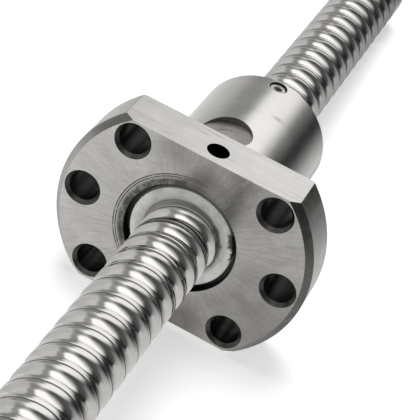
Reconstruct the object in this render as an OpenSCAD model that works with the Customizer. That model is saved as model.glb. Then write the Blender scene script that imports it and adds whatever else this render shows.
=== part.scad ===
// Ball screw with a single flanged nut, three ball circuits and internal returns.
// Millimetres. X runs along the screw, out of the front of the flange. Z is up,
// square to the two flats of the flange. The origin is on the axis, in the
// plane of the flange's mounting face.

/* [Screw] */
// Travel of the nut for one turn of the screw
lead = 4; // [3.7:0.1:4.1]
// Diameter over the lands of the screw
screw_od = 11.4; // [11.1:0.1:11.5]
// Width of the ball groove where it meets the land
groove_w = 2.66; // [2.62:0.02:2.74]
// Length of the threaded part behind the mounting face
thread_back = 96; // [80:1:120]
// Length of the threaded part in front of the mounting face
thread_front = 80; // [60:1:120]

/* [Screw ends] */
// Bearing journal at the fixed end
fixed_d = 8; // [7:0.5:8]
// Length of that journal up to the locknut thread
fixed_len = 22; // [16:1:30]
// Length of the locknut thread
locknut_len = 10; // [8:1:14]
// Pitch of the locknut thread
locknut_pitch = 1; // [0.75:0.25:1]
// Coupling journal at the drive end
drive_d = 6; // [5:0.5:6]
// Length of the coupling journal
drive_len = 9; // [8:1:16]
// Bearing journal at the floating end
float_d = 6; // [5:0.5:6]
// Length of the floating journal
float_len = 9; // [9:1:14]
// Distance from the shoulder to the retaining ring groove
ring_at = 6.8; // [6:0.2:7]

/* [Balls] */
// Ball diameter
ball_d = 2.5; // [2.48:0.01:2.5]
// Diameter of the circle through the ball centres
ball_circle = 12; // [11.98:0.01:12.02]
// Gap between a ball and the bottom of either groove
ball_gap = 0.02; // [0.02:0.01:0.04]

/* [Nut] */
// Diameter of the nut body
body_od = 21.4; // [21:0.2:23]
// Length of the nut body behind the flange
body_len = 27.6; // [27.4:0.2:32]
// Diameter of the bore over the screw
bore_d = 11.9; // [11.8:0.05:12]
// Diameter of the round return pockets
pocket_d = 8.1; // [7.9:0.1:8.3]
// Distance from the last return pocket to the rear end of the body
rear_room = 9.03; // [8.9:0.01:9.3]
// Turn of the first return pocket from the top, toward minus Y
first_turn = 11.65; // [0:0.05:20]

/* [Flange] */
// Outer diameter of the flange
flange_od = 40; // [38:0.5:44]
// Thickness of the flange
flange_t = 7.4; // [7.2:0.1:9]
// Width over the two flats
flat_w = 29; // [28:0.5:31]
// Chamfer on the front edge
front_chamfer = 1; // [0.6:0.1:1.2]
// Circle through the bolt holes
bolt_circle = 32; // [31:0.5:33]
// Bolt hole diameter
bolt_d = 4.6; // [4.3:0.1:4.8]
// Chamfer at the mouth of each bolt hole
bolt_chamfer = 0.55; // [0.3:0.05:0.6]
// Angle between neighbouring bolt holes
bolt_angle = 45; // [40:1:48]
// Core diameter of the oil port
oil_d = 3.4; // [3:0.1:3.6]
// Distance of the oil port from the mounting face
oil_x = 4.4; // [4.2:0.1:4.4]

/* [Wipers] */
// Diameter of the seat in the flange face
front_seat_d = 17.6; // [17.4:0.1:18]
// Depth of that seat
front_seat = 2.4; // [2.2:0.1:2.4]
// Diameter of the raised face of the front wiper
wiper_boss_d = 16; // [15:0.2:16.4]
// Depth of the wiper face below the flange face
wiper_sunk = 0.5; // [0.3:0.1:0.7]
// Diameter of the seat at the rear end
rear_seat_d = 16.4; // [16:0.1:17]
// Depth of that seat
rear_seat = 4; // [3.8:0.1:4]
// Gap around the screw inside a wiper
wiper_gap = 0.12; // [0.1:0.01:0.2]
// Diameter of the lock screw
lock_d = 2.5; // [2.2:0.1:2.6]
// Distance of the lock screw from the rear end
lock_back = 2.1; // [1.9:0.1:2.2]

/* [Hidden] */

eps = 0.01;
// Facets in one turn of a thread
seg = 20;
ball_r = ball_d / 2;
track_r = ball_circle / 2;
// Both grooves are a little wider than the ball
groove_r = 0.55 * ball_d;
screw_r = screw_od / 2;
// Width of the groove in the bore
nut_groove = 2.72;
bore_r = bore_d / 2;
body_r = body_od / 2;
plug_gap = 0.05;
plug_d = pocket_d - 2 * plug_gap;
// Flat top of a plug, measured from the axis
plug_top = sqrt(body_r * body_r - pocket_d * pocket_d / 4) - 0.12;
press = 0.02;
x_rear = -body_len;
x_front = flange_t;
return_step = lead * 4 / 3;
return_turn = 120;
return_x = [for (i = [0:2]) x_rear + rear_room + (2 - i) * return_step];
return_a = [for (i = [0:2]) 90 + first_turn - i * return_turn];
// The return lifts a ball over the land within this angle to either side
return_half = 26;
land_gap = 0.21;
return_lift = screw_r + ball_r + land_gap - track_r;
// Space between the balls of a circuit
ball_space = 0.14;
ring_t = 0.7;
ring_slot = 0.8;
ring_core = float_d - 0.4;
ring_play = 0.05;
ring_wide = 1.5;
ring_mouth = 1.4;
lug_side = 1.9;
lug_r = 1.2;
lug_hole = 1.1;
// Ring marked in the top of a plug
mark_d = 3.4;
mark_wide = 0.2;
mark_deep = 0.08;
// Centre holes in the ends of the screw
centre_d = 2;
centre_deep = 0.9;
lock_mouth = lock_d + 0.6;
lock_socket = 1.1;
lock_hex = 1.3;
lock_top = 0.35;
lock_len = body_r - lock_top - rear_seat_d / 2;

function polar(x, r, a) = [x, r * cos(a), r * sin(a)];
function unit(v) = v / norm(v);

// Groove section of the screw over one lead, from one groove edge to the other
bottom_v = groove_r / cos(16.5);
screw_cr = track_r - ball_r - ball_gap + groove_r;
screw_section = [
    [lead / 2 - groove_w / 2, screw_r],
    [lead / 2 - bottom_v * sin(33), screw_cr - bottom_v * cos(33)],
    [lead / 2, screw_cr - bottom_v],
    [lead / 2 + bottom_v * sin(33), screw_cr - bottom_v * cos(33)],
    [lead / 2 + groove_w / 2, screw_r]
];

// Solid with an outside thread between two flat ends. The thread fades out at both.
module outside_thread(x0, x1, pitch, section, r_out, n, land_x, land_a, fade) {
    p = len(section);
    first = land_x - pitch * land_a / 360;
    x_start = first + pitch * ceil((x0 + 0.05 * pitch - first) / pitch);
    turns = floor((x1 - x_start - 1.05 * pitch) / pitch);
    rows = turns * p;
    function depth(u) = max(0, min(1, u / fade, (turns - 1 / n - u) / fade));
    function spot(j, t) =
        let (k = floor(t / p), s = section[t - k * p], u = k + j / n)
        polar(x_start + pitch * u + s[0], r_out - depth(u) * (r_out - s[1]), 360 * j / n);
    grid = [for (j = [0:n - 1]) for (t = [0:rows - 1]) spot(j, t)];
    start_ring = [for (j = [0:n - 1]) polar(x0, r_out, 360 * j / n)];
    end_ring = [for (j = [0:n - 1]) polar(x1, r_out, 360 * j / n)];
    s0 = n * rows;
    e0 = s0 + n;
    q = rows - 1;
    function at(j, t) = j * rows + t;
    sides = [
        for (j = [0:n - 2]) for (t = [0:rows - 2]) each [
            [at(j, t), at(j, t + 1), at(j + 1, t + 1)],
            [at(j, t), at(j + 1, t + 1), at(j + 1, t)]
        ]
    ];
    seam = [
        for (t = [0:rows - 2 - p]) each [
            [at(n - 1, t), at(n - 1, t + 1), at(0, t + 1 + p)],
            [at(n - 1, t), at(0, t + 1 + p), at(0, t + p)]
        ]
    ];
    start_side = [
        for (j = [0:n - 2]) each [
            [s0 + j, at(j, 0), at(j + 1, 0)],
            [s0 + j, at(j + 1, 0), s0 + j + 1]
        ]
    ];
    start_seam = concat(
        [[s0 + n - 1, at(n - 1, 0), s0]],
        [[at(n - 1, 0), at(0, 0), s0]],
        [for (i = [0:p - 1]) [at(n - 1, 0), at(0, i + 1), at(0, i)]]
    );
    end_side = [
        for (j = [0:n - 2]) each [
            [at(j, q), e0 + j, e0 + j + 1],
            [at(j, q), e0 + j + 1, at(j + 1, q)]
        ]
    ];
    end_seam = concat(
        [for (i = [q - p:q - 1]) [at(0, q), at(n - 1, i), at(n - 1, i + 1)]],
        [[at(0, q), at(n - 1, q), e0 + n - 1]],
        [[at(0, q), e0 + n - 1, e0]]
    );
    caps = [[for (j = [0:n - 1]) s0 + j], [for (j = [n - 1:-1:0]) e0 + j]];
    polyhedron(
        points = concat(grid, start_ring, end_ring),
        faces = concat(sides, seam, start_side, start_seam, end_side, end_seam, caps),
        convexity = 20
    );
}

// Closed section carried along a list of rings, capped at both ends
module ring_sweep(rings) {
    m = len(rings[0]);
    n = len(rings);
    sides = [
        for (k = [0:n - 2]) for (i = [0:m - 1]) each [
            [k * m + i, k * m + (i + 1) % m, (k + 1) * m + (i + 1) % m],
            [k * m + i, (k + 1) * m + (i + 1) % m, (k + 1) * m + i]
        ]
    ];
    caps = [[for (i = [m - 1:-1:0]) i], [for (i = [0:m - 1]) (n - 1) * m + i]];
    polyhedron(points = [for (r = rings) each r], faces = concat(sides, caps), convexity = 20);
}

// Turned outline given as [x, radius] points, spun about the X axis
module turned(outline) {
    rotate([0, 90, 0]) rotate_extrude() polygon([for (p = outline) [p[1], p[0]]]);
}

module x_cylinder(x0, x1, r) {
    translate([x0, 0, 0]) rotate([0, 90, 0]) cylinder(h = x1 - x0, r = r);
}

// Stands a piece along the radius at an angle, at one place along the axis
module on_radius(x, a) {
    translate([x, 0, 0]) rotate([a - 90, 0, 0]) children();
}

// Centre line of a ball going round one circuit, from the start of the loaded turn
function loaded_spot(i, a) =
    polar(return_x[i] - lead / 2 + lead * a / 360, track_r, return_a[i] + a);
function return_spot(i, s) =
    polar(
        return_x[i] + lead * return_half * s / 360 - lead / 2 * sin(90 * s),
        track_r + return_lift * (abs(s) < 0.89 ? cos(90 * s * 1.12) : 0),
        return_a[i] + return_half * s
    );
function circuit_path(i) = concat(
    [for (a = [return_half:3:360 - return_half - 1]) loaded_spot(i, a)],
    [for (s = [-1:1 / 24:0.999]) return_spot(i, s)],
    [loaded_spot(i, return_half)]
);
function run_lengths(p) = [
    for (k = 0, s = 0; k < len(p); s = s + (k + 1 < len(p) ? norm(p[k + 1] - p[k]) : 0), k = k + 1) s
];
function along(p, f) = let (k = min(floor(f), len(p) - 2)) p[k] + (f - k) * (p[k + 1] - p[k]);

module ball_circuit(i) {
    path = circuit_path(i);
    runs = run_lengths(path);
    whole = runs[len(runs) - 1];
    count = floor(whole / (ball_d + ball_space));
    table = [for (k = [0:len(runs) - 1]) [runs[k], k]];
    color([0.82, 0.83, 0.85]) for (b = [0:count - 1]) {
        translate(along(path, lookup(whole * b / count, table))) sphere(d = ball_d, $fn = 24);
    }
}

// Channel under a plug: it takes a ball out of one groove and into the one beside it
module return_channel(i) {
    sides = 8;
    r = (ball_r + 0.05) / cos(180 / sides);
    stations = concat(
        [for (a = [-52:6:-28]) loaded_spot(i, 360 + a)],
        [for (s = [-1:1 / 7:1.001]) return_spot(i, s)],
        [for (a = [28:6:52]) loaded_spot(i, a)]
    );
    n = len(stations);
    rings = [
        for (k = [0:n - 1])
            let (
                t = unit(stations[min(k + 1, n - 1)] - stations[max(k - 1, 0)]),
                out = unit([0, stations[k][1], stations[k][2]]),
                side = unit(cross(t, out)),
                up = cross(side, t)
            )
            [
                for (j = [0:sides - 1])
                    stations[k] + r * (cos(360 * j / sides) * side + sin(360 * j / sides) * up)
            ]
    ];
    ring_sweep(rings);
}

module return_plug(i) {
    color([0.62, 0.62, 0.6]) difference() {
        on_radius(return_x[i], return_a[i]) translate([0, 0, track_r - 2.6]) {
            cylinder(h = plug_top - track_r + 2.6, d = plug_d);
        }
        x_cylinder(return_x[i] - pocket_d, return_x[i] + pocket_d, bore_r);
        return_channel(i);
        on_radius(return_x[i], return_a[i]) translate([0, 0, plug_top - mark_deep]) difference() {
            cylinder(h = 1, d = mark_d);
            translate([0, 0, -1]) cylinder(h = 3, d = mark_d - 2 * mark_wide);
        }
    }
}

// Bore of the nut with the ball groove in its wall, made to clear the balls between facets
module nut_bore() {
    out = 1 / cos(180 / seg);
    cr = track_r + ball_r + ball_gap - groove_r;
    v = groove_r / cos(22.5);
    section = [
        [lead / 2 - nut_groove / 2, bore_r * out],
        [lead / 2 - v * sin(45), (cr + v * cos(45)) * out],
        [lead / 2, (cr + v) * out],
        [lead / 2 + v * sin(45), (cr + v * cos(45)) * out],
        [lead / 2 + nut_groove / 2, bore_r * out]
    ];
    outside_thread(
        x_rear - 1, x_front + 1, lead, section, bore_r * out, seg,
        return_x[0], return_a[0], 0.25
    );
}

module bolt_hole(a) {
    translate([0, bolt_circle / 2 * cos(a), bolt_circle / 2 * sin(a)]) {
        x_cylinder(-1, x_front + 1, bolt_d / 2);
        translate([x_front - bolt_chamfer, 0, 0]) rotate([0, 90, 0]) {
            cylinder(h = bolt_chamfer + eps, r1 = bolt_d / 2, r2 = bolt_d / 2 + bolt_chamfer + eps);
        }
    }
}

module nut_body() {
    color([0.66, 0.66, 0.64]) difference() {
        intersection() {
            turned([
                [x_rear, 0], [x_rear, body_r - 0.4], [x_rear + 0.4, body_r], [0, body_r],
                [0, flange_od / 2 - 0.2], [0.2, flange_od / 2], [x_front - front_chamfer, flange_od / 2],
                [x_front, flange_od / 2 - front_chamfer], [x_front, 0]
            ]);
            translate([x_rear - 1, -flange_od, -flat_w / 2]) {
                cube([body_len + flange_t + 2, 2 * flange_od, flat_w]);
            }
        }
        nut_bore();
        x_cylinder(x_front - front_seat, x_front + 1, front_seat_d / 2);
        x_cylinder(x_rear - 1, x_rear + rear_seat, rear_seat_d / 2);
        for (i = [0:2]) on_radius(return_x[i], return_a[i]) cylinder(h = body_r + 1, d = pocket_d);
        for (side = [0, 180]) for (k = [-1:1]) bolt_hole(side + k * bolt_angle);
        // Oil port in the upper flat and its passage down to the ball groove
        translate([oil_x, 0, front_seat_d / 2 + 0.9]) cylinder(h = flat_w / 2, d = oil_d);
        translate([oil_x, 0, bore_r - 1]) cylinder(h = flat_w / 2 - bore_r, d = 1.1);
        // Hole of the lock screw
        translate([x_rear + lock_back, 0, rear_seat_d / 2 - 0.5]) cylinder(h = body_r, d = lock_d);
        translate([x_rear + lock_back, 0, body_r - 0.35]) {
            cylinder(h = 0.7, d1 = lock_d, d2 = lock_mouth + 0.6);
        }
    }
}

module front_wiper() {
    x0 = x_front - front_seat;
    x1 = x_front - wiper_sunk;
    step = x0 + 0.9;
    bore = screw_r + wiper_gap;
    color([0.86, 0.86, 0.83]) turned([
        [x0, bore], [x0, front_seat_d / 2 - press], [step, front_seat_d / 2 - press],
        [step, wiper_boss_d / 2], [x1 - 0.2, wiper_boss_d / 2], [x1, wiper_boss_d / 2 - 0.2],
        [x1, bore + 0.55], [x1 - 0.5, bore]
    ]);
}

module rear_wiper() {
    x0 = x_rear + wiper_sunk;
    x1 = x_rear + rear_seat;
    bore = screw_r + wiper_gap;
    r = rear_seat_d / 2 - press;
    color([0.86, 0.86, 0.83]) turned([
        [x0, bore + 0.4], [x0, r - 0.3], [x0 + 0.3, r], [x1, r], [x1, bore], [x0 + 0.4, bore]
    ]);
}

module wiper_lock_screw() {
    z0 = rear_seat_d / 2;
    color([0.3, 0.3, 0.32]) translate([x_rear + lock_back, 0, z0]) difference() {
        union() {
            cylinder(h = 0.3, r1 = lock_d / 2 - 0.3 - press, r2 = lock_d / 2 - press);
            translate([0, 0, 0.3]) cylinder(h = lock_len - 0.3, r = lock_d / 2 - press);
        }
        translate([0, 0, lock_len - lock_socket]) cylinder(h = lock_socket + 1, d = lock_hex / cos(30), $fn = 6);
    }
}

module screw_shaft() {
    locknut_section = [
        [locknut_pitch * 0.1, fixed_d / 2],
        [locknut_pitch * 0.5, fixed_d / 2 - 0.61 * locknut_pitch],
        [locknut_pitch * 0.9, fixed_d / 2]
    ];
    x_f = thread_front + fixed_len;
    x_l = x_f + locknut_len;
    x_d = x_l + drive_len;
    x_b = -thread_back;
    relief = fixed_d / 2 - 0.7 * locknut_pitch;
    color([0.78, 0.78, 0.78]) union() {
        outside_thread(
            x_b, thread_front, lead, screw_section, screw_r, seg,
            return_x[0], return_a[0], 0.75
        );
        turned([
            [thread_front - 1, 0], [thread_front - 1, fixed_d / 2], [x_f, fixed_d / 2],
            [x_f, relief], [x_f + 1.5, relief], [x_f + 1.5, 0]
        ]);
        outside_thread(x_f + 1, x_l - 0.6, locknut_pitch, locknut_section, fixed_d / 2, 16, 0, 0, 0.5);
        turned([
            [x_l - 1, 0], [x_l - 1, fixed_d / 2 - 0.5], [x_l, fixed_d / 2 - 0.6], [x_l, drive_d / 2],
            [x_d - 0.5, drive_d / 2], [x_d, drive_d / 2 - 0.5], [x_d, centre_d / 2], [x_d - centre_deep, 0]
        ]);
        turned([
            [x_b + 1, 0], [x_b + 1, float_d / 2], [x_b - ring_at, float_d / 2],
            [x_b - ring_at, ring_core / 2], [x_b - ring_at - ring_slot, ring_core / 2],
            [x_b - ring_at - ring_slot, float_d / 2], [x_b - float_len + 0.5, float_d / 2],
            [x_b - float_len, float_d / 2 - 0.5], [x_b - float_len, centre_d / 2],
            [x_b - float_len + centre_deep, 0]
        ]);
    }
}

module retaining_ring() {
    x0 = -thread_back - ring_at - ring_slot + (ring_slot - ring_t) / 2;
    inner = ring_core / 2 + ring_play;
    lug_at = inner + ring_wide - lug_hole / 10;
    color([0.25, 0.25, 0.27]) difference() {
        union() {
            x_cylinder(x0, x0 + ring_t, inner + ring_wide);
            for (s = [-1, 1]) translate([0, s * lug_side, lug_at]) x_cylinder(x0, x0 + ring_t, lug_r);
        }
        x_cylinder(x0 - 1, x0 + ring_t + 1, inner);
        for (s = [-1, 1]) translate([0, s * lug_side, lug_at]) {
            x_cylinder(x0 - 1, x0 + ring_t + 1, lug_hole / 2);
        }
        translate([x0 - 1, -ring_mouth / 2, 0]) cube([ring_t + 2, ring_mouth, lug_at + lug_r + 1]);
    }
}

module front_return_plug() { return_plug(0); }
module middle_return_plug() { return_plug(1); }
module rear_return_plug() { return_plug(2); }
module front_ball_circuit() { ball_circuit(0); }
module middle_ball_circuit() { ball_circuit(1); }
module rear_ball_circuit() { ball_circuit(2); }

screw_shaft();
retaining_ring();
nut_body();
front_wiper();
rear_wiper();
wiper_lock_screw();
front_return_plug();
middle_return_plug();
rear_return_plug();
front_ball_circuit();
middle_ball_circuit();
rear_ball_circuit();
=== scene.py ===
# Looks of the ball screw: ground nut with its flange, threaded shaft, wipers, plugs and balls.
import math

import bmesh
import bpy
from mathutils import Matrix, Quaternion, Vector


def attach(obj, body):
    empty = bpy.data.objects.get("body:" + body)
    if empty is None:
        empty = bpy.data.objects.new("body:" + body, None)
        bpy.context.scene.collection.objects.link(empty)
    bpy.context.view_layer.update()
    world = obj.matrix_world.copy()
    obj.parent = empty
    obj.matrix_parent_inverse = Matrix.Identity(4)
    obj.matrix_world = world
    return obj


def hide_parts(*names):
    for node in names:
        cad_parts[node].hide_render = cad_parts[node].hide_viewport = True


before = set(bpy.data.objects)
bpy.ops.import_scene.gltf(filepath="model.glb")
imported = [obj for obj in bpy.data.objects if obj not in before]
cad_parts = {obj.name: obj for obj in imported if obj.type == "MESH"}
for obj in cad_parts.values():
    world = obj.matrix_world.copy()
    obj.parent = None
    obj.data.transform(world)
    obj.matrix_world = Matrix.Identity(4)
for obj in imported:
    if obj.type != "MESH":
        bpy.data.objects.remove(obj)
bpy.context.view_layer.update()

MM = 0.001

# Sizes of the CAD model, in millimetres and degrees
LEAD = 4.0
LAND_R = 5.7
BALL_R = 1.25
TRACK_R = 6.0
BALL_GAP = 0.02
GROOVE_R = 1.375
BORE_R = 5.95
THREAD_BACK = -96.0
THREAD_FRONT = 80.0
FIXED_R = 4.0
FIXED_END = 102.0
RELIEF_R = 3.3
LOCKNUT_FROM = 103.3
LOCKNUT_TO = 111.05
LOCKNUT_END = 112.0
LOCKNUT_PITCH = 1.0
DRIVE_R = 3.0
DRIVE_END = 121.0
FLOAT_R = 3.0
FLOAT_END = -105.0
RING_AT = -102.8
RING_SLOT = 0.8
RING_CORE = 2.8
CENTRE_R = 1.0
CENTRE_DEEP = 0.9
BODY_R = 10.7
REAR = -27.6
FRONT = 7.4
FLANGE_R = 20.0
FLAT_Z = 14.5
CHAMFER = 1.0
BOLT_CIRCLE_R = 16.0
BOLT_R = 2.3
BOLT_CHAMFER = 0.55
BOLT_ANGLE = 45.0
POCKET_R = 4.05
REAR_ROOM = 9.03
FIRST_TURN = 101.65
OIL_X = 4.4
OIL_R = 1.7
OIL_FLOOR = 9.7
PASSAGE_R = 0.55
FRONT_SEAT_R = 8.8
FRONT_SEAT = 2.4
REAR_SEAT_R = 8.2
REAR_SEAT = 4.0
WIPER_R = 8.0
WIPER_SUNK = 0.5
LOCK_R = 1.25
LOCK_BACK = 2.1
LOCK_FLOOR = 6.5
RETURN_STEP = LEAD * 4 / 3
RETURN_X = [REAR + REAR_ROOM + (2 - i) * RETURN_STEP for i in range(3)]
RETURN_TURN = [FIRST_TURN - 120.0 * i for i in range(3)]
SCREW_GROOVE_AT = TRACK_R - BALL_R - BALL_GAP + GROOVE_R
NUT_GROOVE_AT = TRACK_R + BALL_R + BALL_GAP - GROOVE_R

# How finely the scene's own meshes are wound: steps round, and rows along one lead
STEPS = 72
NUT_STEPS = 192
SCREW_ROWS = 24
SCREW_LAND_ROWS = 6
NUT_ROWS = 14
NUT_LAND_ROWS = 1
LOCKNUT_ROWS = 10

# Small sizes that only the scene has, in millimetres; THREAD_MARGIN and LOCKNUT_LAND are shares of a lead
WELD = 0.002
THREAD_MARGIN = 0.05
SEAM_HALF = 0.229
SEAM_DEEP = 0.062
NO_SEAM = 0.001
LOCKNUT_FIRST = 103.7
LOCKNUT_TURNS = 6
LOCKNUT_DEEP = 0.6
LOCKNUT_RUNOUT = 0.35
LOCKNUT_RIM = 0.1
LOCKNUT_LAND = 0.2
END_CHAMFER = 0.5
SEAT_CHAMFER = 0.2
REAR_CHAMFER = 0.4
CORE_R = 5.0
EDGE_BREAK = 0.07
LOCK_MOUTH = 0.35
LOCK_FLARE = 0.6
POCKET_FROM = 2.0
PASSAGE_FROM = 4.0
OVER = 1.0
WIPER_SLACK = 0.02
WIPER_LEDGE = 0.9
WIPER_CLEAR = 0.12
LIP_SUNK = 0.5
LIP_THICK = 0.3
LIP_EASE = 0.02
LIP_GAP = 0.04
LIP_MARK = 5.0
LIP_MARGIN = 0.03
LIP_SAMPLES = 8


# Node trees

class Wiring:
    """Adds and joins the nodes of one tree."""

    def __init__(self, tree):
        self.tree = tree

    def add(self, kind, inputs=None, **settings):
        """New node with its settings, and its inputs fed by their names or places."""
        node = self.tree.nodes.new(kind)
        for name, value in settings.items():
            setattr(node, name, value)
        for name, value in (inputs or {}).items():
            self.feed(node.inputs[name], value)
        return node

    def make(self, kind, inputs, **settings):
        """First output of such a node."""
        return self.add(kind, inputs, **settings).outputs[0]

    def feed(self, socket, value):
        if isinstance(value, bpy.types.NodeSocket):
            self.tree.links.new(value, socket)
        else:
            socket.default_value = value

    def math(self, operation, *values):
        return self.make("ShaderNodeMath", dict(enumerate(values)), operation=operation)

    def times(self, a, b):
        return self.math("MULTIPLY", a, b)

    def plus(self, a, b):
        return self.math("ADD", a, b)

    def minus(self, a, b):
        return self.math("SUBTRACT", a, b)

    def linear(self, a, factor, more):
        return self.math("MULTIPLY_ADD", a, factor, more)

    def ramp(self, value, low, high, to_low=0.0, to_high=1.0):
        return self.make("ShaderNodeMapRange", {0: value, 1: low, 2: high, 3: to_low, 4: to_high})

    def mix(self, share, a, b):
        return self.add("ShaderNodeMix", {0: share, 6: a, 7: b}, data_type="RGBA").outputs[2]

    def combine(self, x, y, z):
        return self.make("ShaderNodeCombineXYZ", {0: x, 1: y, 2: z})

    def separate(self, vector):
        return self.add("ShaderNodeSeparateXYZ", {0: vector}).outputs

    def noise(self, vector, scale, detail=3.0, rough=0.6):
        inputs = {"Vector": vector, "Scale": scale, "Detail": detail, "Roughness": rough}
        return self.make("ShaderNodeTexNoise", inputs)


def geometry_tree(name, lengths, counts):
    """New Geometry Nodes tree with inputs for a material, for lengths or shares, and for counts."""
    tree = bpy.data.node_groups.new(name, "GeometryNodeTree")
    tree.interface.new_socket("Geometry", in_out="INPUT", socket_type="NodeSocketGeometry")
    tree.interface.new_socket("Geometry", in_out="OUTPUT", socket_type="NodeSocketGeometry")
    for kind, labels in (("Float", lengths), ("Int", counts), ("Material", ["Material"])):
        for label in labels:
            tree.interface.new_socket(label, in_out="INPUT", socket_type="NodeSocket" + kind)
    wiring = Wiring(tree)
    return tree, wiring, wiring.add("NodeGroupInput").outputs, wiring.add("NodeGroupOutput").inputs


def put_out(w, geometry, given, out):
    """Ends a tree: makes its geometry real and paints it with the material that the tree is given."""
    real = w.make("GeometryNodeRealizeInstances", {0: geometry})
    w.feed(out[0], w.make("GeometryNodeSetMaterial", {"Geometry": real, "Material": given["Material"]}))


def evaluated_mesh(holder):
    """Mesh of an object as its modifiers leave it."""
    graph = bpy.context.evaluated_depsgraph_get()
    return bpy.data.meshes.new_from_object(holder.evaluated_get(graph))


def grown_mesh(name, tree, values, material):
    """Plain mesh that the tree makes with these values for its named inputs."""
    holder = piece_from(name + "_tree", bpy.data.meshes.new(name + "_seed"))
    modifier = holder.modifiers.new("nodes", "NODES")
    modifier.node_group = tree
    for item in tree.interface.items_tree:
        if item.in_out == "INPUT" and item.name in values:
            modifier[item.identifier] = values[item.name]
        if item.in_out == "INPUT" and item.name == "Material":
            modifier[item.identifier] = material
    mesh = evaluated_mesh(holder)
    mesh.name = name
    holder.modifiers.clear()
    bpy.data.objects.remove(holder)
    return mesh


THREAD_LENGTHS = ["Start", "End", "Lead", "First land", "Land radius", "Groove radius", "Groove centre",
                  "Groove side", "Groove half angle", "Land share", "Fade turns", "Seam half width",
                  "Seam depth", "Vee depth"]
THREAD_COUNTS = ["Turns", "Steps", "Rows"]


def along_lead(w, given, phase):
    """Place along one lead, over half a land, the groove's arc and half a land; and the groove's angle."""
    far_share = w.minus(1.0, given["Land share"])
    half_angle = given["Groove half angle"]
    beta = w.ramp(phase, given["Land share"], far_share, w.times(half_angle, -1.0), half_angle)
    half_width = w.times(given["Groove radius"], w.math("SINE", half_angle))
    half_land = w.minus(w.math("DIVIDE", given["Lead"], 2.0), half_width)
    near = w.ramp(phase, 0.0, given["Land share"], 0.0, half_land)
    far = w.ramp(phase, far_share, 1.0, 0.0, half_land)
    arc = w.linear(given["Groove radius"], w.math("SINE", beta), half_width)
    return w.plus(w.plus(near, far), arc), beta


def thread_dip(w, given, phase, run, along, beta):
    """Depth of the groove, of the seam on its crest or of a vee, and the seam; they fade at both ends."""
    rise = w.times(given["Groove side"], w.times(given["Groove radius"], w.math("COSINE", beta)))
    dip = w.minus(given["Land radius"], w.plus(given["Groove centre"], rise))
    crest = w.math("MINIMUM", along, w.minus(given["Lead"], along))
    seam = w.ramp(w.math("DIVIDE", crest, given["Seam half width"]), 0.0, 1.0, 1.0, 0.0)
    dip = w.linear(seam, given["Seam depth"], dip)
    vee = w.minus(1.0, w.math("ABSOLUTE", w.linear(phase, 2.0, -1.0)))
    dip = w.plus(dip, w.ramp(vee, LOCKNUT_LAND, 1.0, 0.0, given["Vee depth"]))
    into = w.math("DIVIDE", run, given["Fade turns"])
    out_of = w.math("DIVIDE", w.minus(given["Turns"], run), given["Fade turns"])
    fade = w.ramp(w.math("MINIMUM", into, out_of), 0.0, 1.0)
    return w.times(fade, dip), w.times(seam, fade)


def thread_tree():
    """Skin of a threaded bar: a grid wound round the axis, its rows along the groove."""
    tree, w, given, out = geometry_tree("thread_skin", THREAD_LENGTHS, THREAD_COUNTS)
    pad = 2.0
    rows = w.times(given["Rows"], w.plus(given["Turns"], 2.0 * pad))
    grid = w.make("GeometryNodeMeshGrid", {
        "Size X": 1.0, "Size Y": 1.0, "Vertices X": w.plus(given["Steps"], 1.0),
        "Vertices Y": w.plus(rows, 1.0)
    })
    place = w.separate(w.add("GeometryNodeInputPosition").outputs[0])
    step = w.math("ROUND", w.times(w.plus(place[0], 0.5), given["Steps"]))
    row = w.math("ROUND", w.times(w.plus(place[1], 0.5), rows))
    part = w.math("DIVIDE", step, given["Steps"])
    turn = w.math("FLOOR", w.math("DIVIDE", row, given["Rows"]))
    phase = w.math("DIVIDE", w.minus(row, w.times(turn, given["Rows"])), given["Rows"])
    run = w.plus(w.minus(turn, pad), part)
    along, beta = along_lead(w, given, phase)
    dip, seam = thread_dip(w, given, phase, run, along, beta)
    x = w.linear(given["Lead"], run, w.plus(given["First land"], along))
    x = w.math("MINIMUM", w.math("MAXIMUM", x, given["Start"]), given["End"])
    radius = w.minus(given["Land radius"], dip)
    angle = w.times(part, math.tau)
    across = w.times(radius, w.math("COSINE", angle))
    up = w.times(radius, w.math("SINE", angle))
    named = {"Geometry": grid, "Name": "seam", "Value": seam}
    grid = w.make("GeometryNodeStoreNamedAttribute", named, data_type="FLOAT", domain="POINT")
    wound = w.make("GeometryNodeSetPosition", {"Geometry": grid, "Position": w.combine(x, across, up)})
    welded = w.make("GeometryNodeMergeByDistance", {"Geometry": wound, "Distance": WELD * MM})
    put_out(w, welded, given, out)
    return tree


BOLTS_A_SIDE = 3
HOLE_STEPS = 64
BOLT_LENGTHS = ["Circle radius", "Spacing", "Hole radius", "Length", "Mouth depth", "Front"]


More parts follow.
